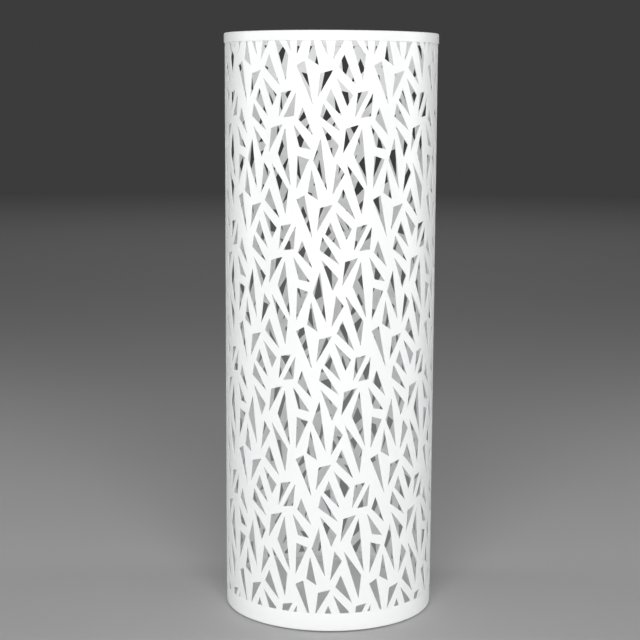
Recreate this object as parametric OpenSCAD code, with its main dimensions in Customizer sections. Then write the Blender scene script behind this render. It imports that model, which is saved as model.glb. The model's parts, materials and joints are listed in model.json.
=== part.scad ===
/* [Overall] */
// Outer diameter of the perforated tube
body_d = 200; // [160:1:240]
// Height from the floor to the top of the rim
total_h = 550; // [440:1:660]

/* [Sheet] */
// Thickness of the rolled steel sheet
sheet_t = 0.8; // [0.6:0.1:1.2]
// Width of the sheet's plain margin that is held inside the rim
sheet_margin = 7; // [4:0.5:8]

/* [Top rim] */
// Height of the rim band over the sheet's top edge
rim_h = 9; // [9:0.5:16]
// Thickness of the rim's folded strip
rim_t = 0.8; // [0.6:0.1:1.2]
// Gap between the sheet's top edge and the inside of the rim's fold
rim_seat_gap = 0.3; // [0.1:0.1:0.8]

/* [Base ring] */
// Height of the top of the plain band above the floor
band_h = 18.5; // [16:0.5:30]
// Thickness of the base ring's strip
ring_t = 1.2; // [1:0.1:1.6]
// How far the band stands in from the outside of the tube
band_inset = 0.3; // [0:0.1:0.5]
// Gap between the floor and the steel
floor_gap = 1; // [0.5:0.5:3]
// Outer radius of the bend at the ring's bottom edge
ring_bend_r = 2; // [1.7:0.1:3]
// Width of the ring's turned-in lip, from its outside
lip_w = 6; // [5:0.5:10]

/* [Base plate] */
// Thickness of the base plate
plate_t = 1.2; // [0.8:0.1:2]
// Depth of the plate's turned-down flange, with the plate
plate_h = 4; // [3:0.5:6]
// Outer radius of the bend round the plate's edge
plate_bend_r = 2; // [2:0.1:2.8]
// Gap between the plate's edge and the bend in the base ring
plate_gap = 0.2; // [0.1:0.1:1]

/* [Drip tray] */
// Gap between the tray's edge and the narrowest wall round it
tray_gap = 1.4; // [0.8:0.1:4]
// Height of the tray from its underside to the top of its edge
tray_h = 6.8; // [6:0.1:12]
// Thickness of the tray's sheet
tray_t = 0.7; // [0.5:0.1:0.9]
// Diameter of the tray's rolled edge
tray_bead_d = 2.2; // [2:0.1:3]
// Width of the channel round the tray's raised floor
channel_w = 7; // [5:0.5:9]
// Height that the middle of the tray's floor is raised by
tray_raise = 2.8; // [2.6:0.1:3.2]

/* [Feet] */
// Number of rubber feet
foot_count = 4; // [3:1:8]
// Diameter of a rubber foot
foot_d = 18; // [14:0.5:22]
// Distance from the edge of the plate in to a foot's centre
foot_inset = 25; // [24:1:40]
// Thickness of the rubber under the screw's washer
foot_web_t = 1.8; // [1:0.1:1.8]
// Radius of the rounding at the foot's lower edge
foot_edge_r = 0.8; // [0.3:0.1:1.2]

/* [Foot fasteners] */
// Diameter of the foot screw's thread
screw_d = 3; // [2.5:0.5:3.5]
// Clearance of the screw in its holes, on the diameter
screw_clearance = 0.4; // [0.2:0.1:0.8]
// Diameter of the screw's head
head_d = 5.6; // [5:0.1:6.5]
// Height of the screw's head
head_h = 1.6; // [1.2:0.1:1.8]
// Outer diameter of the washer under the head
washer_d = 8; // [7:0.5:9]
// Thickness of the washer
washer_t = 0.5; // [0.3:0.1:0.8]
// Gap round the washer in the foot's recess
recess_gap = 0.5; // [0.3:0.1:1]
// Width of the nut across its flats
nut_w = 5.5; // [5:0.5:7]
// Height of the nut
nut_h = 1.8; // [1.5:0.1:2]
// Length of the screw that stands past the nut
screw_past_nut = 0.3; // [0:0.1:0.5]

/* [Pattern] */
// Number of times the pattern repeats round the tube
columns = 9; // [6:1:12]
// Height of one repeat of the pattern
repeat_h = 118.5; // [100:0.5:140]
// Height at which the lowest whole repeat starts
pattern_z = 24.5; // [0:0.5:60]
// Turn of the pattern round the tube at the front, in degrees
front_turn = 0.3; // [-2:0.1:2]
// Turn of the pattern round the tube at the back, in degrees
rear_turn = -3.4; // [-4:0.1:4]

/* [Hidden] */
$fn = 96;

// Radii of the tube, the rim, the ring and the plate
body_r = body_d / 2;
sheet_in_r = body_r - sheet_t;
rim_out_r = body_r + rim_t;
rim_in_r = sheet_in_r - rim_t;
ring_out_r = body_r - band_inset;
ring_in_r = ring_out_r - ring_t;
plate_r = ring_out_r - ring_bend_r - plate_gap;
foot_ring_r = plate_r - foot_inset;

// Heights of the tube, the plate and the tray
rim_z = total_h - rim_h;
sheet_top = total_h - rim_t - rim_seat_gap;
plate_low = floor_gap + ring_t;
plate_top = plate_low + plate_h;
plate_under = plate_top - plate_t;
tray_r = min(rim_in_r, ring_in_r) - tray_gap;
tray_bead_r = tray_bead_d / 2;
tray_wall_r = tray_r - tray_bead_d + tray_t;
tray_step_r = tray_wall_r - channel_w;

// The foot's recess, from the floor up to the washer
foot_h = plate_under;
recess_d = washer_d + 2 * recess_gap;
recess_h = foot_h - foot_web_t;
screw_hole_d = screw_d + screw_clearance;

// The pattern's field, open at the ring and hidden a little way under the rim
field_low = band_h;
field_high = sheet_top - sheet_margin;

// One repeat of the pattern, drawn flat: triangles as [across, up]
motif_w = 70;
motif_h = 119;
MOTIF = [
    [[-0.5, 120.5], [-5, 109.5], [9.5, 95]],
    [[4, 129.5], [19, 114], [14, 104]],
    [[23.5, 116], [33.5, 118], [21, 94]],
    [[38, 116.5], [26, 94], [36, 95.5]],
    [[44, 103.5], [40, 92.5], [53.5, 78.5]],
    [[62.5, 107], [60, 95], [78, 82]],
    [[38.5, 21], [46, 25], [53.5, -14]],
    [[60, 14], [71.5, 17], [57.5, -7.5]],
    [[35.5, 88.5], [41, 68], [51.5, 66]],
    [[61.5, 87], [77, 69.5], [72, 58]],
    [[13, 84.5], [25, 88], [10.5, 62.5]],
    [[27.5, 85], [20, 62], [33, 33]],
    [[39.5, 60.5], [50, 57], [38.5, 30.5]],
    [[60.5, 76], [54, 56], [66.5, 29]],
    [[5, 54], [12, 44.5], [1, 25]],
    [[13.5, 54], [30.5, 30], [28, 7.5]],
    [[52.5, 48.5], [49, 27], [58.5, 21]],
    [[11, 31], [6, 19.5], [22, 3.5]],
];

// The cut-off triangles between the lowest whole repeat and the sheet's open lower edge
EDGE_ROW = [
    [[-0.5, 121], [-5, 110], [9.5, 95.5]],
    [[4, 131], [19, 114.5], [14, 104.5]],
    [[25.8, 119.4], [35.8, 121.4], [23.3, 97.4]],
    [[40.3, 120], [28.3, 97.4], [38.3, 99]],
];

// Depth of a hole's cutter to each side of the sheet
cutter_reach = 3;
// Smallest height of a cut-off triangle that is still punched
least_cut = 0.6;

across_scale = PI * body_d / (columns * motif_w);
up_scale = repeat_h / motif_h;
last_row = ceil((field_high - pattern_z) / repeat_h);

function up_of(points) = [for (p = points) p[1]];
function across_of(points) = [for (p = points) p[0]];
function middle(values) = (min(values) + max(values)) / 2;

// Where the side from a to b crosses the height z
function crossing(a, b, z) = a + (b - a) * (z - a[1]) / (b[1] - a[1]);

// The part of an outline on one side of the height z: side is 1 above it and -1 below it
function trimmed(points, z, side) = [
    for (i = [0 : len(points) - 1])
        let (
            a = points[i],
            b = points[(i + 1) % len(points)],
            a_kept = side * (a[1] - z) >= 0,
            b_kept = side * (b[1] - z) >= 0
        )
        each concat(a_kept ? [a] : [], a_kept != b_kept ? [crossing(a, b, z)] : [])
];

// A triangle of the motif at its real size, in the given row
function placed(triangle, row) = [
    for (p = triangle) [p[0] * across_scale, pattern_z + row * repeat_h + p[1] * up_scale]
];

// The same outline trimmed to the pattern's field, with a little taken past the open edge
function in_field(points) = trimmed(trimmed(points, field_low - 1, 1), field_high, -1);

function in_reach(points) =
    max(up_of(points)) > field_low + least_cut && min(up_of(points)) < field_high - least_cut;

// How far round to the back a direction is: 0 in front, 1 behind, and eased at the sides
function rearness(turn) =
    let (share = min(max(0.5 - cos(turn) / 1.3, 0), 1))
        share * share * (3 - 2 * share);

// The direction of a hole, with the pattern's turn added
function turned(turn) = turn + front_turn + (rear_turn - front_turn) * rearness(turn);

// A cutter through the sheet for one outline, in the given column
module hole(outline, column) {
    centre = middle(across_of(outline));
    turn = 360 * (centre / (columns * motif_w * across_scale) + column / columns);
    rotate([0, 0, turned(turn)])
        translate([0, -(sheet_in_r - cutter_reach), 0])
            rotate([90, 0, 0])
                linear_extrude(height = sheet_t + 2 * cutter_reach)
                    polygon([for (p = outline) [p[0] - centre, p[1]]]);
}

module ring_solid(r_out, r_in, z_low, z_high) {
    rotate_extrude()
        translate([r_in, z_low])
            square([r_out - r_in, z_high - z_low]);
}

// Copies of one foot's piece round the circle of feet
module at_each_foot() {
    for (i = [0 : foot_count - 1])
        rotate([0, 0, (i + 0.5) * 360 / foot_count])
            translate([foot_ring_r, 0, 0])
                children();
}

// The rolled sheet with its punched triangles
module perforated_body() {
    color("white")
        difference() {
            ring_solid(body_r, sheet_in_r, band_h, sheet_top);
            for (row = [-1 : last_row])
                for (triangle = row < 0 ? EDGE_ROW : MOTIF)
                    if (in_reach(placed(triangle, row)))
                        for (column = [0 : columns - 1])
                            hole(in_field(placed(triangle, row)), column);
        }
}

// The folded strip over the sheet's top edge, round at the top
module top_rim() {
    fold_r = (rim_out_r - rim_in_r) / 2;
    color("white")
        rotate_extrude()
            difference() {
                union() {
                    translate([rim_in_r, rim_z])
                        square([2 * fold_r, rim_h - fold_r]);
                    translate([rim_in_r + fold_r, total_h - fold_r])
                        circle(r = fold_r);
                }
                translate([sheet_in_r, rim_z - 1])
                    square([sheet_t, sheet_top - rim_z + 1]);
            }
}

// An angle of strip: a wall, a bend and a flange that points inwards
module bent_strip(r_out, thickness, height, width, bend_r) {
    difference() {
        union() {
            translate([r_out - width, 0])
                square([width - bend_r, thickness]);
            translate([r_out - thickness, bend_r])
                square([thickness, height - bend_r]);
            intersection() {
                translate([r_out - bend_r, bend_r])
                    circle(r = bend_r);
                translate([r_out - bend_r, 0])
                    square(bend_r);
            }
        }
        translate([r_out - bend_r, bend_r])
            circle(r = bend_r - thickness);
    }
}

// The plain band at the bottom, with its lip turned in under the plate
module base_ring() {
    color("white")
        rotate_extrude()
            translate([0, floor_gap])
                bent_strip(ring_out_r, ring_t, band_h - floor_gap, lip_w, ring_bend_r);
}

// The pressed plate that closes the bottom, with its edge turned down on to the ring's lip
module base_plate() {
    color("white")
        difference() {
            rotate_extrude()
                translate([0, plate_top])
                    mirror([0, 1])
                        bent_strip(plate_r, plate_t, plate_h, plate_r, plate_bend_r);
            at_each_foot()
                translate([0, 0, plate_low])
                    cylinder(d = screw_hole_d, h = plate_h + 1);
        }
}

// The loose tray: a channel round a raised floor, and a rolled edge
module drip_tray() {
    color("gainsboro")
        rotate_extrude()
            translate([0, plate_top]) {
                translate([0, tray_raise])
                    square([tray_step_r, tray_t]);
                translate([tray_step_r - tray_t, 0])
                    square([tray_t, tray_raise + tray_t]);
                translate([tray_step_r - tray_t, 0])
                    square([tray_wall_r - tray_step_r + tray_t, tray_t]);
                translate([tray_wall_r - tray_t, 0])
                    square([tray_t, tray_h - tray_bead_r]);
                translate([tray_r - tray_bead_r, tray_h - tray_bead_r])
                    circle(r = tray_bead_r);
            }
}

// The soft feet, each with a recess for its screw
module rubber_feet() {
    color("dimgray")
        at_each_foot()
            difference() {
                rotate_extrude() {
                    square([foot_d / 2 - foot_edge_r, foot_h]);
                    translate([0, foot_edge_r])
                        square([foot_d / 2, foot_h - foot_edge_r]);
                    translate([foot_d / 2 - foot_edge_r, foot_edge_r])
                        circle(r = foot_edge_r);
                }
                translate([0, 0, -1])
                    cylinder(d = recess_d, h = recess_h + 1);
                cylinder(d = screw_hole_d, h = foot_h + 1);
            }
}

// The washers that spread each screw's head on the rubber
module foot_washers() {
    color("silver")
        at_each_foot()
            translate([0, 0, recess_h - washer_t])
                difference() {
                    cylinder(d = washer_d, h = washer_t);
                    translate([0, 0, -1])
                        cylinder(d = screw_hole_d, h = washer_t + 2);
                }
}

// The screws, with a cross slot in each head
module foot_screws() {
    slot_w = 0.8;
    slot_l = 3.2;
    slot_h = head_h / 2;
    head_top = recess_h - washer_t;
    color("silver")
        at_each_foot()
            difference() {
                union() {
                    translate([0, 0, head_top - head_h])
                        cylinder(d = head_d, h = head_h);
                    translate([0, 0, head_top])
                        cylinder(d = screw_d, h = plate_top + nut_h + screw_past_nut - head_top);
                }
                for (turn = [0, 90])
                    rotate([0, 0, turn])
                        translate([-slot_l / 2, -slot_w / 2, head_top - head_h - 1])
                            cube([slot_l, slot_w, slot_h + 1]);
            }
}

// The nuts on top of the plate, under the tray's raised floor
module foot_nuts() {
    color("silver")
        at_each_foot()
            translate([0, 0, plate_top])
                difference() {
                    cylinder(d = nut_w / cos(30), h = nut_h, $fn = 6);
                    translate([0, 0, -1])
                        cylinder(d = screw_d, h = nut_h + 2);
                }
}

perforated_body();
top_rim();
base_ring();
base_plate();
drip_tray();
rubber_feet();
foot_washers();
foot_screws();
foot_nuts();
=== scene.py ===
"""A round umbrella stand of punched white steel: sheet, rims, base, drip tray and rubber feet."""

from __future__ import annotations

import json
import logging
import math
from dataclasses import dataclass, field
from enum import Enum
from typing import Any, Iterable, Mapping, Sequence

import bmesh
import bpy
import numpy as np
from mathutils import Matrix, Vector

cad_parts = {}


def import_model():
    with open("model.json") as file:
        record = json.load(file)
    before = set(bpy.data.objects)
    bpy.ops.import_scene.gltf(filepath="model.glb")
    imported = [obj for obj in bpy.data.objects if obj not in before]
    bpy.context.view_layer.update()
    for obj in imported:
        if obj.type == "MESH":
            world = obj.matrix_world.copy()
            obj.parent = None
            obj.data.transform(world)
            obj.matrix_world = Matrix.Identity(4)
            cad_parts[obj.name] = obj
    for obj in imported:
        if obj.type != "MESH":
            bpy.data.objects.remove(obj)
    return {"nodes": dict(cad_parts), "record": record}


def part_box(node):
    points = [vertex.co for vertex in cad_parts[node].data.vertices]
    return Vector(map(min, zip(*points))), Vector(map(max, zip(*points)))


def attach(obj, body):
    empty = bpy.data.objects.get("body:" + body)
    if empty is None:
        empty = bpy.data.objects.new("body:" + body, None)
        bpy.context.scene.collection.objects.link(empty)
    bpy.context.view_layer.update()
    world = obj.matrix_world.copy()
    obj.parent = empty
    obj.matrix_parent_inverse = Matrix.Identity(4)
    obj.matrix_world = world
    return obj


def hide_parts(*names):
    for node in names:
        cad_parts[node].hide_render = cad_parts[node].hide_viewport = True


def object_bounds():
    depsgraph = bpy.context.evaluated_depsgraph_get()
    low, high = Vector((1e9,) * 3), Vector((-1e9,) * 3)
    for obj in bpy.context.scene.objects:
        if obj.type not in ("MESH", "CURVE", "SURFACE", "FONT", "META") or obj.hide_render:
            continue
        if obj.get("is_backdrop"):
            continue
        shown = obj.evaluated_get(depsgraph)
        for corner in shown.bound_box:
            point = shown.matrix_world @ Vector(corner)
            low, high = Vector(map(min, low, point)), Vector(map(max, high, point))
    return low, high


log = logging.getLogger("umbrella_stand")

MM = 0.001
ON_AXIS = 1e-7
SHARP_ANGLE = math.radians(35.0)
SKIN_FACING = 0.99
Point = tuple[float, float]
Outline = list[Point]
Colour = tuple[float, float, float, float]


# ---------------------------------------------------------------- node graphs


class Scalar:
    """A number socket of a shader graph. Arithmetic on it adds Math nodes."""

    def __init__(self, graph: "Graph", socket: bpy.types.NodeSocket) -> None:
        """Wraps an output socket of the graph."""
        self.graph = graph
        self.socket = socket

    def _math(self, operation: str, *values: "Scalar | float") -> "Scalar":
        """The output of a new Math node.

        Args:
            operation: the Math node's operation.
            values: its inputs in order.

        Returns:
            The result as a Scalar.
        """
        node = self.graph.add("Math", {"operation": operation}, dict(enumerate(values)))
        return Scalar(self.graph, node.outputs[0])

    def __add__(self, other: "Scalar | float") -> "Scalar":
        """self + other."""
        return self._math("ADD", self, other)

    __radd__ = __add__

    def __mul__(self, other: "Scalar | float") -> "Scalar":
        """self * other."""
        return self._math("MULTIPLY", self, other)

    def above(self, threshold: float) -> "Scalar":
        """1 where this is over the threshold, and 0 elsewhere."""
        return self._math("GREATER_THAN", self, threshold)

    def kept(self, low: float, high: float) -> "Scalar":
        """This value held between low and high."""
        return self._math("MINIMUM", self._math("MAXIMUM", self, low), high)


class Graph:
    """Adds nodes to a shader or a geometry tree through one method."""

    def __init__(self, tree: bpy.types.NodeTree, prefix: str) -> None:
        """Keeps the tree, and the prefix of its node types, such as ShaderNode."""
        self.tree = tree
        self.prefix = prefix

    def add(
        self,
        kind: str,
        settings: Mapping[str, Any] | None = None,
        inputs: Mapping[int | str, Any] | None = None,
    ) -> bpy.types.Node:
        """Adds one node.

        Args:
            kind: the node's type, without its prefix unless it has another one.
            settings: the node's own properties.
            inputs: a value, a socket or a Scalar for each input, by place or name.

        Returns:
            The new node.
        """
        full = kind if "Node" in kind else self.prefix + kind
        node = self.tree.nodes.new(full)
        for name, value in (settings or {}).items():
            setattr(node, name, value)
        for name, value in (inputs or {}).items():
            self._feed(node.inputs[name], value)
        return node

    def _feed(self, socket: bpy.types.NodeSocket, value: Any) -> None:
        """Links a socket, or several to a multi-input, or sets its value."""
        if isinstance(value, Scalar):
            value = value.socket
        if isinstance(value, list):
            for one in value:
                self.tree.links.new(one, socket)
        elif isinstance(value, bpy.types.NodeSocket):
            self.tree.links.new(value, socket)
        else:
            socket.default_value = value


class MaterialGraph(Graph):
    """The node tree of one material, with the noises that the finishes share."""

    def __init__(self, name: str) -> None:
        """Makes an empty material with that name."""
        self.material = bpy.data.materials.new(name)
        self.material.use_nodes = True
        super().__init__(self.material.node_tree, "ShaderNode")
        self.tree.nodes.clear()
        self.place = self.add("TexCoord").outputs["Object"]

    def noise(self, size: float, detail: float = 2.0, seed: float = 0.0) -> Scalar:
        """Soft noise from 0 to 1.

        Args:
            size: about the width of its blotches, in metres.
            detail: how many finer layers it has.
            seed: moves the pattern, so that two noises differ.

        Returns:
            The noise as a Scalar.
        """
        node = self.add(
            "TexNoise",
            {"noise_dimensions": "4D"},
            {"Vector": self.place, "W": seed, "Scale": 1.0 / size, "Detail": detail},
        )
        return Scalar(self, node.outputs[0])

    def attribute(self, name: str) -> Scalar:
        """A number that the mesh carries under that name."""
        node = self.add("Attribute", {"attribute_name": name})
        return Scalar(self, node.outputs["Fac"])

    def blend(self, factor: Scalar | float, first: Any, second: Any) -> bpy.types.NodeSocket:
        """A colour between two colours.

        Args:
            factor: 0 for the first, 1 for the second.
            first: a colour or a colour socket.
            second: a colour or a colour socket.

        Returns:
            The mixed colour's socket.
        """
        node = self.add(
            "Mix", {"data_type": "RGBA"}, {0: factor, 6: first, 7: second}
        )
        return node.outputs[2]

    def bump(self, height: Scalar, depth: float) -> bpy.types.NodeSocket:
        """A normal from a height.

        Args:
            height: the height, from 0 to 1.
            depth: what a height of 1 stands for, in metres.

        Returns:
            The normal's socket.
        """
        node = self.add("Bump", {}, {"Height": height, "Distance": depth})
        return node.outputs["Normal"]

    def surface(self, inputs: Mapping[str, Any]) -> bpy.types.Material:
        """Ends the tree in a Principled surface and gives the material."""
        shader = self.add("BsdfPrincipled", {}, inputs)
        self.add("OutputMaterial", {}, {"Surface": shader.outputs[0]})
        return self.material


# ------------------------------------------------------------------- finishes


@dataclass(frozen=True)
class PowderCoat:
    """White powder coat on steel: a fine orange peel, and a thinner, greyer film on cut edges."""

    name: str = "white_powder_coat"
    colour: Colour = (0.925, 0.93, 0.93, 1.0)
    shade: Colour = (0.9, 0.905, 0.91, 1.0)
    edge: Colour = (0.8, 0.805, 0.815, 1.0)
    roughness: float = 0.36
    cloud_size: float = 60 * MM
    peel: float = 0.9 * MM
    peel_depth: float = 0.012 * MM
    speck_size: float = 0.35 * MM
    speck_level: float = 0.72

    def material(self) -> bpy.types.Material:
        """The coat as a material."""
        graph = MaterialGraph(self.name)
        cloud = graph.noise(self.cloud_size, detail=3.0)
        fine = graph.noise(self.peel, detail=2.0, seed=3.0)
        speck = graph.noise(self.speck_size, detail=1.0, seed=5.0).above(self.speck_level)
        tone = graph.blend(cloud.kept(0.3, 0.7), self.colour, self.shade)
        tone = graph.blend(graph.attribute("cut_edge") * 0.8, tone, self.edge)
        tone = graph.blend(speck * 0.12, tone, self.edge)
        rough = self.roughness + cloud * 0.06 + fine * 0.08
        return graph.surface(
            {
                "Base Color": tone,
                "Roughness": rough,
                "Normal": graph.bump(fine, self.peel_depth),
            }
        )


@dataclass(frozen=True)
class MouldedRubber:
    """Matte black rubber with a fine moulded grain and a dusty bloom."""

    name: str = "moulded_rubber"
    colour: Colour = (0.018, 0.018, 0.02, 1.0)
    bloom: Colour = (0.06, 0.06, 0.062, 1.0)
    grain_size: float = 0.3 * MM
    grain_depth: float = 0.02 * MM
    bloom_size: float = 5 * MM

    def material(self) -> bpy.types.Material:
        """The rubber as a material."""
        graph = MaterialGraph(self.name)
        grain = graph.noise(self.grain_size, detail=3.0)
        cloud = graph.noise(self.bloom_size, detail=2.0, seed=2.0)
        tone = graph.blend(cloud.kept(0.35, 0.7), self.colour, self.bloom)
        return graph.surface(
            {
                "Base Color": tone,
                "Roughness": 0.68 + cloud * 0.15,
                "Normal": graph.bump(grain, self.grain_depth),
            }
        )


@dataclass(frozen=True)
class ZincPlate:
    """Bright zinc plate on turned steel, with fine scratches and a soft spangle."""

    name: str = "zinc_plate"
    bright: Colour = (0.72, 0.73, 0.75, 1.0)
    dull: Colour = (0.5, 0.51, 0.54, 1.0)
    spangle_size: float = 0.8 * MM
    scratch_size: float = 0.15 * MM
    scratch_depth: float = 0.004 * MM

    def material(self) -> bpy.types.Material:
        """The plate as a material."""
        graph = MaterialGraph(self.name)
        spangle = graph.noise(self.spangle_size, detail=2.0)
        scratch = graph.noise(self.scratch_size, detail=1.0, seed=4.0)
        tone = graph.blend(spangle.kept(0.3, 0.8), self.bright, self.dull)
        return graph.surface(
            {
                "Base Color": tone,
                "Metallic": 1.0,
                "Roughness": 0.24 + spangle * 0.2,
                "Normal": graph.bump(scratch, self.scratch_depth),
            }
        )


class Finish(Enum):
    """The finishes that a piece can have."""

    COAT = PowderCoat()
    # The tray's coat is light grey, darker than the body's white: partly the coat's own grey,
    # partly painted shade for the shade that falls on the tray deep inside the stand.
    TRAY_COAT_PAINTED_SHADE = PowderCoat(
        name="tray_powder_coat",
        colour=(0.82, 0.825, 0.83, 1.0),
        shade=(0.78, 0.785, 0.79, 1.0),
        roughness=0.42,
    )
    RUBBER = MouldedRubber()
    ZINC = ZincPlate()


SLOTS = {
    Finish.COAT: "white_powder_coat",
    Finish.TRAY_COAT_PAINTED_SHADE: "tray_powder_coat",
    Finish.RUBBER: "foot_rubber",
    Finish.ZINC: "zinc_plated_steel",
}


class Paintshop:
    """Makes each finish's material once."""

    def __init__(self) -> None:
        """Starts with no material made."""
        self._made: dict[Finish, bpy.types.Material] = {}

    def __getitem__(self, finish: Finish) -> bpy.types.Material:
        """The finish's material."""
        if finish not in self._made:
            self._made[finish] = finish.value.material()
        return self._made[finish]


# --------------------------------------------------------------- mesh helpers


def new_object(name: str, mesh: bpy.types.Mesh) -> bpy.types.Object:
    """A scene object for a mesh, at the origin."""
    made = bpy.data.objects.new(name, mesh)
    bpy.context.scene.collection.objects.link(made)
    return made


def dress(piece: bpy.types.Object, body: str, node: str, finish: Finish, shop: Paintshop) -> None:
    """Gives a piece its finish, its body and the node that it stands for.

    Args:
        piece: the finished piece.
        body: the body that it moves with.
        node: the node of the frame that it replaces.
        finish: its finish.
        shop: where the finish's material comes from.
    """
    piece.data.materials.clear()
    piece.data.materials.append(shop[finish])
    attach(piece, body)
    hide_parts(node)
    SLOTS[finish]
    log.info("%s: %d faces on %s", piece.name, len(piece.data.polygons), body)


def arc(centre: Point, radius: float, start: float, end: float, steps: int) -> Outline:
    """Points along an arc.

    Args:
        centre: the arc's centre.
        radius: its radius.
        start: the first point's angle in degrees.
        end: the last point's angle in degrees.
        steps: how many chords it has.

    Returns:
        steps + 1 points.
    """
    turns = [math.radians(start + (end - start) * i / steps) for i in range(steps + 1)]
    return [(centre[0] + radius * math.cos(t), centre[1] + radius * math.sin(t)) for t in turns]


def rounded(points: Sequence[Point], radius: float, steps: int = 3) -> Outline:
    """An outline with its corners rounded.

    Args:
        points: the sharp corners, in order.
        radius: the radius at every corner, less where a side is short.
        steps: how many chords each corner has.

    Returns:
        The rounded outline.
    """
    out: Outline = []
    count = len(points)
    for i, corner in enumerate(points):
        here = Vector(corner)
        before = Vector(points[i - 1]) - here
        after = Vector(points[(i + 1) % count]) - here
        half = before.angle(after) / 2
        reach = min(radius / math.tan(half), 0.4 * before.length, 0.4 * after.length)
        size = reach * math.tan(half)
        middle = here + (before.normalized() + after.normalized()).normalized() * (
            size / math.sin(half)
        )
        first = (here + before.normalized() * reach) - middle
        last = (here + after.normalized() * reach) - middle
        sweep = first.angle_signed(last)
        for step in range(steps + 1):
            turned = Matrix.Rotation(-sweep * step / steps, 2) @ first
            out.append(tuple(middle + turned))
    return out


def lathe(name: str, profile: Sequence[Point], segments: int = 180) -> bpy.types.Object:
    """A closed body turned about the vertical axis from a closed profile.

    Args:
        name: the piece's name.
        profile: points as (radius, height), in order; a radius of 0 is on the axis.
        segments: how many steps round.

    Returns:
        The piece.
    """
    work = bmesh.new()
    rings: list[list[bmesh.types.BMVert]] = []
    for radius, height in profile:
        if radius < ON_AXIS:
            rings.append([work.verts.new((0.0, 0.0, height))])
            continue
        turns = [2 * math.pi * i / segments for i in range(segments)]
        rings.append(
            [work.verts.new((radius * math.cos(t), radius * math.sin(t), height)) for t in turns]
        )
    for lower, upper in zip(rings, rings[1:] + rings[:1]):
        if len(lower) == 1 and len(upper) == 1:
            continue
        for i in range(segments):
            j = (i + 1) % segments
            corners = [lower[i % len(lower)], lower[j % len(lower)]]
            corners += [upper[j % len(upper)], upper[i % len(upper)]]
            work.faces.new(list(dict.fromkeys(corners)))
    bmesh.ops.recalc_face_normals(work, faces=work.faces)
    return finished(name, work)


def finished(name: str, work: bmesh.types.BMesh) -> bpy.types.Object:
    """Turns mesh work into a piece, smooth except across sharp edges.

    Args:
        name: the piece's name.
        work: the mesh work, which is freed.

    Returns:
        The piece.
    """
    for face in work.faces:
        face.smooth = True
    for edge in work.edges:
        edge.smooth = len(edge.link_faces) == 2 and edge.calc_face_angle(0.0) < SHARP_ANGLE
    mesh = bpy.data.meshes.new(name)
    work.to_mesh(mesh)
    work.free()
    return new_object(name, mesh)


class NodeTool(Graph):
    """A Geometry Nodes tool with named inputs, applied to a piece and taken off again."""

    def __init__(self, name: str, inputs: Mapping[str, tuple[str, Any]]) -> None:
        """Makes the tree.

        Args:
            name: the tree's name.
            inputs: the socket's kind and first value, by name.
        """
        super().__init__(bpy.data.node_groups.new(name, "GeometryNodeTree"), "GeometryNode")
        face = self.tree.interface
        face.new_socket("Geometry", in_out="OUTPUT", socket_type="NodeSocketGeometry")
        face.new_socket("Geometry", in_out="INPUT", socket_type="NodeSocketGeometry")
        self.identifiers: dict[str, str] = {}
        for title, (kind, value) in inputs.items():
            socket = face.new_socket(title, in_out="INPUT", socket_type="NodeSocket" + kind)
            if value is not None:
                socket.default_value = value
            self.identifiers[title] = socket.identifier
        self.given = self.tree.nodes.new("NodeGroupInput").outputs

    def finish(self, geometry: bpy.types.NodeSocket) -> None:
        """Ends the tree in Realize Instances and Set Material."""
        real = self.add("RealizeInstances", {}, {0: geometry})
        painted = self.add(
            "SetMaterial", {}, {"Geometry": real.outputs[0], "Material": self.given["Material"]}
        )
        out = self.tree.nodes.new("NodeGroupOutput")
        self.tree.links.new(painted.outputs[0], out.inputs[0])

    def apply(self, piece: bpy.types.Object, values: Mapping[str, Any]) -> None:
        """Runs the tool on a piece and leaves it a plain mesh.

        Args:
            piece: the piece that holds the tool's input mesh.
            values: the tool's inputs by name.
        """
        modifier = piece.modifiers.new(self.tree.name, "NODES")
        modifier.node_group = self.tree
        for title, value in values.items():
            modifier[self.identifiers[title]] = value
        evaluated = piece.evaluated_get(bpy.context.evaluated_depsgraph_get())
        baked = bpy.data.meshes.new_from_object(evaluated)
        piece.modifiers.remove(modifier)
        old = piece.data
        piece.data = baked
        bpy.data.meshes.remove(old)


# ------------------------------------------------------------ punched pattern


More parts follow.
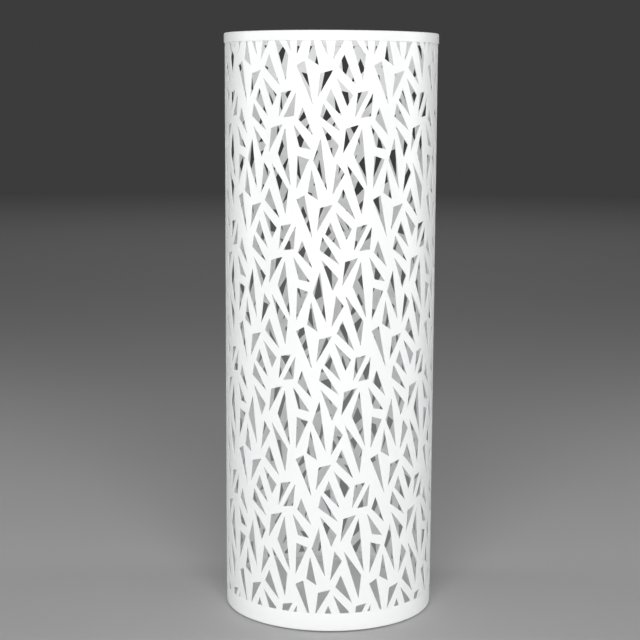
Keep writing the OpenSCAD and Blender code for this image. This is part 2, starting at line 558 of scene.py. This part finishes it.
@dataclass(frozen=True)
class PunchPattern:
    """The slanting triangles of the sheet: one repeat drawn flat, and how it repeats.

    The triangles are in the flat repeat's own units. The edge row is the repeat that the
    sheet's lower edge cuts open, and the two turns shift the pattern in front and at the rear.
    """

    columns: int = 9
    repeat_width: float = 70.0
    repeat_height: float = 119.0
    row_pitch: float = 118.5 * MM
    first_row: float = 24.5 * MM
    front_turn: float = math.radians(0.3)
    rear_turn: float = math.radians(-3.4)
    turn_ease: float = 1.3
    corner_radius: float = 0.15 * MM
    least_height: float = 0.6 * MM
    past_edge: float = 1 * MM
    triangles: tuple[tuple[Point, Point, Point], ...] = (
        ((-0.5, 120.5), (-5, 109.5), (9.5, 95)),
        ((4, 129.5), (19, 114), (14, 104)),
        ((23.5, 116), (33.5, 118), (21, 94)),
        ((38, 116.5), (26, 94), (36, 95.5)),
        ((44, 103.5), (40, 92.5), (53.5, 78.5)),
        ((62.5, 107), (60, 95), (78, 82)),
        ((38.5, 21), (46, 25), (53.5, -14)),
        ((60, 14), (71.5, 17), (57.5, -7.5)),
        ((35.5, 88.5), (41, 68), (51.5, 66)),
        ((61.5, 87), (77, 69.5), (72, 58)),
        ((13, 84.5), (25, 88), (10.5, 62.5)),
        ((27.5, 85), (20, 62), (33, 33)),
        ((39.5, 60.5), (50, 57), (38.5, 30.5)),
        ((60.5, 76), (54, 56), (66.5, 29)),
        ((5, 54), (12, 44.5), (1, 25)),
        ((13.5, 54), (30.5, 30), (28, 7.5)),
        ((52.5, 48.5), (49, 27), (58.5, 21)),
        ((11, 31), (6, 19.5), (22, 3.5)),
    )
    edge_row: tuple[tuple[Point, Point, Point], ...] = (
        ((-0.5, 121), (-5, 110), (9.5, 95.5)),
        ((4, 131), (19, 114.5), (14, 104.5)),
        ((25.8, 119.4), (35.8, 121.4), (23.3, 97.4)),
        ((40.3, 120), (28.3, 97.4), (38.3, 99)),
    )

    def turned(self, turn: float) -> float:
        """A hole's direction with the pattern's own turn added, which is eased at the sides.

        Args:
            turn: the direction in radians, 0 in front.

        Returns:
            The direction in radians.
        """
        share = min(max(0.5 - math.cos(turn) / self.turn_ease, 0.0), 1.0)
        rearness = share * share * (3 - 2 * share)
        return turn + self.front_turn + (self.rear_turn - self.front_turn) * rearness

    def placed(self, triangle: Iterable[Point], row: int, radius: float) -> Outline:
        """One triangle at its real size, as (arc length round the tube, height).

        Args:
            triangle: its corners on the flat repeat.
            row: which repeat upwards.
            radius: the tube's outer radius.

        Returns:
            Its corners in metres.
        """
        across = 2 * math.pi * radius / (self.columns * self.repeat_width)
        up = self.row_pitch / self.repeat_height
        base = self.first_row + row * self.row_pitch
        return [(x * across, base + z * up) for x, z in triangle]

    @staticmethod
    def trimmed(points: Outline, height: float, side: int) -> Outline:
        """The part of an outline on one side of a height.

        Args:
            points: the outline.
            height: the height of the cut.
            side: 1 keeps what is above it, and -1 what is below.

        Returns:
            The trimmed outline, which may be empty.
        """
        out: Outline = []
        for here, there in zip(points, points[1:] + points[:1]):
            here_kept = side * (here[1] - height) >= 0
            there_kept = side * (there[1] - height) >= 0
            if here_kept:
                out.append(here)
            if here_kept != there_kept:
                share = (height - here[1]) / (there[1] - here[1])
                out.append((here[0] + (there[0] - here[0]) * share, height))
        return out

    def column(self, radius: float, low: float, high: float) -> list[Outline]:
        """Every outline of one column, trimmed to the field.

        Args:
            radius: the tube's outer radius.
            low: the field's lower limit, which is an open edge.
            high: the field's upper limit, which is plain sheet.

        Returns:
            The outlines, with their corners rounded.
        """
        least = self.least_height
        out: list[Outline] = []
        last_row = math.ceil((high - self.first_row) / self.row_pitch)
        for row in range(-1, last_row + 1):
            for triangle in self.edge_row if row < 0 else self.triangles:
                points = self.placed(triangle, row, radius)
                heights = [z for _, z in points]
                if max(heights) > low + least and min(heights) < high - least:
                    points = self.trimmed(points, low - self.past_edge, 1)
                    points = self.trimmed(points, high, -1)
                    out.append(rounded(points, self.corner_radius, 2))
        return out


# --------------------------------------------------------------- sub-assemblies


@dataclass(frozen=True)
class PunchedTube:
    """The rolled sheet: a thin tube with its triangles cut out and its skins shaded round."""

    outer_radius: float
    inner_radius: float
    low: float
    high: float
    field_high: float
    pattern: PunchPattern = field(default_factory=PunchPattern)
    facets: int = 180
    reach: float = 3 * MM

    def _outlines(self) -> bpy.types.Object:
        """Every outline as a flat face, each square to the tube and just inside it."""
        work = bmesh.new()
        start = self.inner_radius - self.reach
        outlines = self.pattern.column(self.outer_radius, self.low, self.field_high)
        for column in range(self.pattern.columns):
            for outline in outlines:
                across = [x for x, _ in outline]
                centre = (min(across) + max(across)) / 2
                turn = centre / self.outer_radius + 2 * math.pi * column / self.pattern.columns
                turn = self.pattern.turned(turn)
                outward = Vector((math.sin(turn), -math.cos(turn), 0.0))
                sideways = Vector((math.cos(turn), math.sin(turn), 0.0))
                corners = [
                    outward * start + sideways * (x - centre) + Vector((0.0, 0.0, z))
                    for x, z in outline
                ]
                face = work.faces.new([work.verts.new(c) for c in corners])
                face.normal_update()
                if face.normal.dot(outward) < 0:
                    face.normal_flip()
        mesh = bpy.data.meshes.new("perforated_body")
        work.to_mesh(mesh)
        work.free()
        return new_object("perforated_tube", mesh)

    def _tool(self) -> NodeTool:
        """The tool that punches a tube: it thickens the outlines and cuts them out."""
        tool = NodeTool(
            "punched_tube",
            {
                "Outer Radius": ("Float", self.outer_radius),
                "Inner Radius": ("Float", self.inner_radius),
                "Low": ("Float", self.low),
                "High": ("Float", self.high),
                "Reach": ("Float", self.reach),
                "Facets": ("Int", self.facets),
                "Material": ("Material", None),
            },
        )
        given = tool.given

        def math_node(operation: str, first: Any, second: Any) -> bpy.types.NodeSocket:
            """A Math node's output for two numbers."""
            node = tool.add("ShaderNodeMath", {"operation": operation}, {0: first, 1: second})
            return node.outputs[0]

        wall = math_node("SUBTRACT", given["Outer Radius"], given["Inner Radius"])
        depth = math_node("ADD", wall, math_node("MULTIPLY", given["Reach"], 2.0))
        pushed = tool.add(
            "ExtrudeMesh",
            {"mode": "FACES"},
            {"Mesh": given["Geometry"], "Offset Scale": depth, "Individual": True},
        )
        back = tool.add("FlipFaces", {}, {0: given["Geometry"]})
        joined = tool.add("JoinGeometry", {}, {0: [back.outputs[0], pushed.outputs[0]]})
        cutters = tool.add(
            "MergeByDistance", {}, {"Geometry": joined.outputs[0], "Distance": 0.001 * MM}
        )
        tall = math_node("SUBTRACT", given["High"], given["Low"])
        middle = math_node("MULTIPLY", math_node("ADD", given["High"], given["Low"]), 0.5)
        lift = tool.add("ShaderNodeCombineXYZ", {}, {"Z": middle})
        solids = []
        for radius, height in (
            (given["Outer Radius"], tall),
            (given["Inner Radius"], math_node("ADD", tall, given["Reach"])),
        ):
            drum = tool.add(
                "MeshCylinder",
                {"fill_type": "NGON"},
                {"Vertices": given["Facets"], "Radius": radius, "Depth": height},
            )
            raised = tool.add(
                "Transform", {}, {"Geometry": drum.outputs[0], "Translation": lift.outputs[0]}
            )
            solids.append(raised.outputs[0])
        cut = tool.add(
            "MeshBoolean",
            {"operation": "DIFFERENCE", "solver": "EXACT"},
            {0: solids[0], 1: [solids[1], cutters.outputs[0]]},
        )
        tool.finish(cut.outputs[0])
        return tool

    def _shade(self, mesh: bpy.types.Mesh) -> None:
        """Marks the cut faces and gives the two skins the normals of true cylinders.

        Args:
            mesh: the tube's finished mesh.
        """
        count = len(mesh.polygons)
        normals = np.zeros(count * 3)
        mesh.polygons.foreach_get("normal", normals)
        normals = normals.reshape(-1, 3)
        centres = np.zeros(count * 3)
        mesh.polygons.foreach_get("center", centres)
        centres = centres.reshape(-1, 3)[:, :2]
        outward = centres / np.linalg.norm(centres, axis=1, keepdims=True)
        facing = np.einsum("ij,ij->i", normals[:, :2], outward)
        skin = np.abs(facing) > SKIN_FACING
        mark = mesh.attributes.new("cut_edge", "FLOAT", "FACE")
        mark.data.foreach_set("value", (~skin).astype(np.float32))
        corner_face = np.repeat(np.arange(count), [p.loop_total for p in mesh.polygons])
        corner_point = np.zeros(len(mesh.loops), np.int32)
        mesh.loops.foreach_get("vertex_index", corner_point)
        points = np.zeros(len(mesh.vertices) * 3)
        mesh.vertices.foreach_get("co", points)
        points = points.reshape(-1, 3)[corner_point]
        points[:, 2] = 0.0
        round_normal = points / np.linalg.norm(points, axis=1, keepdims=True)
        round_normal *= np.sign(facing)[corner_face][:, None]
        chosen = np.where(skin[corner_face][:, None], round_normal, normals[corner_face])
        mesh.shade_smooth()
        mesh.normals_split_custom_set(chosen.tolist())

    def build(self, shop: Paintshop) -> bpy.types.Object:
        """The dressed tube."""
        piece = self._outlines()
        self._tool().apply(piece, {"Material": shop[Finish.COAT]})
        self._shade(piece.data)
        dress(piece, "stand", "perforated_body", Finish.COAT, shop)
        return piece


@dataclass(frozen=True)
class SheetMetal:
    """The sections of the turned and folded pieces of plain strip and plate."""

    strip: float = 1.2 * MM
    rim_strip: float = 0.8 * MM
    tray_sheet: float = 0.7 * MM
    bend_radius: float = 2.0 * MM
    lip_width: float = 6.0 * MM
    edge_radius: float = 0.25 * MM
    channel_width: float = 7.0 * MM
    tray_raise: float = 2.8 * MM
    bead_radius: float = 1.1 * MM

    @staticmethod
    def thickened(line: Sequence[Point], thickness: float) -> Outline:
        """A closed profile round an open centre line, with rounded ends off the axis.

        Args:
            line: the centre line as (radius, height).
            thickness: the sheet's thickness.

        Returns:
            The profile.
        """
        half = thickness / 2
        points = [Vector(p) for p in line]
        left: Outline = []
        right: Outline = []
        for i, here in enumerate(points):
            along = points[min(i + 1, len(points) - 1)] - points[max(i - 1, 0)]
            across = Vector((-along.y, along.x)).normalized() * half
            left.append(tuple(here + across))
            right.append(tuple(here - across))

        def cap(end: Vector, inside: Vector) -> Outline:
            """Points of the round end past the centre line's end."""
            if end.x < ON_AXIS:
                return []
            heading = (end - inside).normalized()
            side = Vector((heading.y, -heading.x))
            turns = [math.radians(a) for a in (150, 120, 90, 60, 30)]
            return [
                tuple(end + half * (math.sin(t) * heading - math.cos(t) * side)) for t in turns
            ]

        far = cap(points[-1], points[-2])
        near = cap(points[0], points[1])
        return left + far[::-1] + right[::-1] + near[::-1]

    def rim(self, box: tuple[Vector, Vector], sheet: tuple[float, float, float]) -> Outline:
        """The rim's section: a strip folded over the sheet's top edge.

        Args:
            box: the rim's lowest and highest corners.
            sheet: the sheet's outer radius, inner radius and top.

        Returns:
            The profile.
        """
        outer, low, top = box[1].x, box[0].z, box[1].z
        sheet_out, sheet_in, sheet_top = sheet
        inner = sheet_in - self.rim_strip
        fold = (outer - inner) / 2
        soft = self.edge_radius
        profile = [(sheet_out, low + soft / 2)]
        profile += arc((outer - soft, low + soft), soft, -90, 0, 4)
        profile += arc((inner + fold, top - fold), fold, 0, 180, 16)
        profile += arc((inner + soft, low + soft), soft, 180, 270, 4)
        profile += [(sheet_in, low + soft / 2), (sheet_in, sheet_top), (sheet_out, sheet_top)]
        return profile

    def ring(self, box: tuple[Vector, Vector]) -> Outline:
        """The base ring's section: a wall, a bend and a lip turned in.

        Args:
            box: the ring's lowest and highest corners.

        Returns:
            The profile.
        """
        half = self.strip / 2
        outer, low, top = box[1].x, box[0].z, box[1].z
        bend = self.bend_radius - half
        middle = (outer - self.bend_radius, low + self.bend_radius)
        line = [(outer - self.lip_width + half, low + half)]
        line += arc(middle, bend, -90, 0, 8)
        line += [(outer - half, top - half)]
        return self.thickened(line, self.strip)

    def plate(self, box: tuple[Vector, Vector]) -> Outline:
        """The base plate's section: flat, with its edge turned down.

        Args:
            box: the plate's lowest and highest corners.

        Returns:
            The profile.
        """
        half = self.strip / 2
        outer, low, top = box[1].x, box[0].z, box[1].z
        bend = self.bend_radius - half
        middle = (outer - self.bend_radius, top - self.bend_radius)
        line = [(0.0, top - half)]
        line += arc(middle, bend, 90, 0, 8)
        line += [(outer - half, low + half)]
        return self.thickened(line, self.strip)

    def tray(self, box: tuple[Vector, Vector]) -> Outline:
        """The tray's section: a raised floor, a channel, a wall and a rolled edge.

        Args:
            box: the tray's lowest and highest corners.

        Returns:
            The profile.
        """
        half = self.tray_sheet / 2
        outer, low, top = box[1].x, box[0].z, box[1].z
        wall = outer - 2 * self.bead_radius + half
        step = wall - self.channel_width
        soft = self.tray_sheet
        floor = low + half
        raised = floor + self.tray_raise
        curl = self.bead_radius - half
        line = [(0.0, raised)]
        line += arc((step - soft, raised - soft), soft, 90, 0, 5)
        line += arc((step + soft, floor + soft), soft, 180, 270, 5)
        line += arc((wall - 2 * soft, floor + 2 * soft), 2 * soft, -90, 0, 8)
        line += arc((outer - self.bead_radius, top - self.bead_radius), curl, 180, -100, 20)
        return self.thickened(line, self.tray_sheet)


@dataclass(frozen=True)
class Feet:
    """The rubber feet under the plate, made by one tool that sets copies round a circle."""

    count: int = 4
    inset: float = 25 * MM
    radius: float = 9 * MM
    edge_radius: float = 0.8 * MM
    recess_radius: float = 4.5 * MM
    recess_height: float = 3.2 * MM
    bore_radius: float = 1.7 * MM
    groove_depth: float = 0.35 * MM
    groove_pitch: float = 1.0 * MM
    edge_break: float = 0.3 * MM

    def _section(self, height: float) -> Outline:
        """One foot's section, with fine grooves in the face that grips the floor.

        Args:
            height: the foot's height.

        Returns:
            The profile.
        """
        profile = [(self.bore_radius, self.recess_height), (self.recess_radius, self.recess_height)]
        soft = self.edge_break
        profile += arc((self.recess_radius + soft, soft), soft, 180, 270, 3)
        groove = self.recess_radius + self.groove_pitch
        while groove < self.radius - self.edge_radius - self.groove_pitch / 2:
            quarter = self.groove_pitch / 4
            profile += [(groove - quarter, 0.0), (groove - quarter / 2, self.groove_depth)]
            profile += [(groove + quarter / 2, self.groove_depth), (groove + quarter, 0.0)]
            groove += self.groove_pitch
        middle = (self.radius - self.edge_radius, self.edge_radius)
        profile += arc(middle, self.edge_radius, -90, 0, 6)
        profile += [(self.radius, height - soft), (self.radius - soft, height)]
        profile += [(self.bore_radius, height)]
        return profile

    def _tool(self) -> NodeTool:
        """The tool that repeats a piece round a circle, first at half a step."""
        tool = NodeTool(
            "copies_on_circle",
            {
                "Count": ("Int", self.count),
                "Ring Radius": ("Float", 0.0),
                "Material": ("Material", None),
            },
        )
        given = tool.given
        places = tool.add("Points", {}, {"Count": given["Count"]})
        index = tool.add("InputIndex").outputs[0]
        half_on = tool.add("ShaderNodeMath", {"operation": "ADD"}, {0: index, 1: 0.5})
        step = tool.add(
            "ShaderNodeMath", {"operation": "DIVIDE"}, {0: 2 * math.pi, 1: given["Count"]}
        )
        turn = tool.add(
            "ShaderNodeMath", {"operation": "MULTIPLY"}, {0: half_on.outputs[0], 1: step.outputs[0]}
        )
        euler = tool.add("ShaderNodeCombineXYZ", {}, {"Z": turn.outputs[0]})
        rotation = tool.add("FunctionNodeEulerToRotation", {}, {0: euler.outputs[0]})
        out = tool.add("ShaderNodeCombineXYZ", {}, {"X": given["Ring Radius"]})
        moved = tool.add(
            "Transform", {}, {"Geometry": given["Geometry"], "Translation": out.outputs[0]}
        )
        copies = tool.add(
            "InstanceOnPoints",
            {},
            {
                "Points": places.outputs[0],
                "Instance": moved.outputs[0],
                "Rotation": rotation.outputs[0],
            },
        )
        tool.finish(copies.outputs[0])
        return tool

    def build(self, shop: Paintshop) -> bpy.types.Object:
        """The dressed feet."""
        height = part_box("rubber_feet")[1].z
        ring_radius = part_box("base_plate")[1].x - self.inset
        piece = lathe("feet", self._section(height), 48)
        self._tool().apply(piece, {"Ring Radius": ring_radius, "Material": shop[Finish.RUBBER]})
        dress(piece, "stand", "rubber_feet", Finish.RUBBER, shop)
        return piece


@dataclass(frozen=True)
class UmbrellaStand:
    """The whole stand, with its sizes taken from the frame."""

    record: Mapping[str, Any]
    nodes: Mapping[str, bpy.types.Object]
    metal: SheetMetal = field(default_factory=SheetMetal)
    sheet_margin: float = 7 * MM

    def build(self, shop: Paintshop) -> None:
        """Builds and dresses every piece."""
        mouth = next(m for m in self.record["mounts"] if m["name"] == "mouth")
        low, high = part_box("perforated_body")
        sheet_in = mouth["dims"]["r_mm"] * MM + self.metal.rim_strip
        tube = PunchedTube(high.x, sheet_in, low.z, high.z, high.z - self.sheet_margin)
        tube.build(shop)
        sheet = (high.x, sheet_in, high.z)
        rim = self.metal.rim(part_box("top_rim"), sheet)
        ring = self.metal.ring(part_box("base_ring"))
        plate = self.metal.plate(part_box("base_plate"))
        tray = self.metal.tray(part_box("drip_tray"))
        dress(lathe("rim", rim), "stand", "top_rim", Finish.COAT, shop)
        dress(lathe("ring", ring), "stand", "base_ring", Finish.COAT, shop)
        dress(lathe("plate", plate), "stand", "base_plate", Finish.COAT, shop)
        # The tray takes the darker coat, whose grey is partly painted shade.
        dress(lathe("tray", tray), "tray", "drip_tray", Finish.TRAY_COAT_PAINTED_SHADE, shop)
        Feet().build(shop)
        for node in ("foot_washers", "foot_screws", "foot_nuts"):
            self._replate(self.nodes[node], shop)

    @staticmethod
    def _replate(node: bpy.types.Object, shop: Paintshop) -> None:
        """Puts the zinc finish on a piece of the frame.

        Args:
            node: the frame's piece.
            shop: where the material comes from.
        """
        node.data.materials.clear()
        node.data.materials.append(shop[Finish.ZINC])
        log.info("%s: kept, zinc plated", node.name)


# --------------------------------------------------------------------- studio


@dataclass(frozen=True)
class SoftBox:
    """One square soft light."""

    name: str
    place: tuple[float, float, float]
    aim: tuple[float, float, float]
    width: float
    height: float
    power: float

    def switch_on(self) -> None:
        """Adds the light to the scene."""
        data = bpy.data.lights.new(self.name, "AREA")
        data.shape = "RECTANGLE"
        data.size = self.width
        data.size_y = self.height
        data.energy = self.power
        lamp = bpy.data.objects.new(self.name, data)
        lamp.location = self.place
        heading = Vector(self.aim) - Vector(self.place)
        lamp.rotation_euler = heading.to_track_quat("-Z", "Y").to_euler()
        bpy.context.scene.collection.objects.link(lamp)


@dataclass(frozen=True)
class Studio:
    """A pale floor, soft boxes and the camera.

    The camera's distance is in radii of the stand and its eye is at a share of the height.
    """

    height: float
    radius: float
    sky: float = 0.045
    floor_reach: float = 6.0
    floor_light: Colour = (0.53, 0.53, 0.53, 1.0)
    floor_dark: Colour = (0.51, 0.51, 0.51, 1.0)
    lens: float = 87.7
    distance: float = 14.87
    eye: float = 0.9075
    pitch: float = math.radians(8.444)
    yaw: float = math.radians(0.362)
    roll: float = math.radians(0.276)
    lamps: tuple[SoftBox, ...] = (
        SoftBox("front_box", (0.0, -2.8, 0.38), (0.0, 0.0, 0.28), 3.0, 0.7, 35.8),
        SoftBox("key_box", (0.0, -2.6, 1.5), (0.0, 0.0, 0.4), 2.2, 0.5, 30.5),
        SoftBox("high_box", (0.0, -1.6, 1.9), (0.0, 0.0, 0.3), 1.2, 0.4, 8.5),
        SoftBox("top_box", (0.0, -0.05, 1.7), (0.0, 0.0, 0.0), 0.3, 0.3, 1.5),
        SoftBox("left_box", (-1.7, 0.1, 0.5), (0.0, 0.0, 0.35), 0.5, 0.9, 9.0),
        SoftBox("right_box", (1.7, 0.1, 0.5), (0.0, 0.0, 0.35), 0.5, 0.9, 9.0),
        SoftBox("floor_box", (0.0, 3.6, 2.4), (0.0, 3.6, 0.0), 4.0, 1.5, 8.0),
    )

    def _floor(self) -> None:
        """The pale floor."""
        work = bmesh.new()
        bmesh.ops.create_grid(work, x_segments=1, y_segments=1, size=self.floor_reach)
        mesh = bpy.data.meshes.new("floor")
        work.to_mesh(mesh)
        work.free()
        floor = new_object("floor", mesh)
        graph = MaterialGraph("floor_paper")
        tone = graph.blend(graph.noise(0.4, detail=3.0), self.floor_light, self.floor_dark)
        mesh.materials.append(graph.surface({"Base Color": tone, "Roughness": 0.75}))
        floor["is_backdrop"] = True

    def _world(self) -> None:
        """An even grey sky."""
        world = bpy.data.worlds.new("studio")
        bpy.context.scene.world = world
        world.use_nodes = True
        backdrop = world.node_tree.nodes["Background"]
        backdrop.inputs["Color"].default_value = (self.sky, self.sky, self.sky, 1.0)
        backdrop.inputs["Strength"].default_value = 1.0

    def _camera(self) -> None:
        """The camera, a little under the rim's height and looking down a little."""
        data = bpy.data.cameras.new("camera")
        data.sensor_width = 36.0
        data.lens = self.lens
        camera = bpy.data.objects.new("camera", data)
        camera.location = (0.0, -self.distance * self.radius, self.eye * self.height)
        tilt = math.pi / 2 - self.pitch
        turned = Matrix.Rotation(self.yaw, 4, "Z") @ Matrix.Rotation(tilt, 4, "X")
        camera.rotation_euler = (turned @ Matrix.Rotation(self.roll, 4, "Z")).to_euler()
        bpy.context.scene.collection.objects.link(camera)
        bpy.context.scene.camera = camera

    def build(self) -> None:
        """Builds the studio."""
        self._floor()
        self._world()
        for lamp in self.lamps:
            lamp.switch_on()
        self._camera()
        bpy.context.scene.view_settings.view_transform = "Standard"


def main() -> None:
    """Builds the stand round the frame, and the studio round the stand."""
    logging.basicConfig(level=logging.INFO, format="%(message)s")
    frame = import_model()
    frame_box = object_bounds()
    UmbrellaStand(frame["record"], frame["nodes"]).build(Paintshop())
    Studio(height=frame_box[1].z, radius=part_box("perforated_body")[1].x).build()


if __name__ == "__main__":
    main()
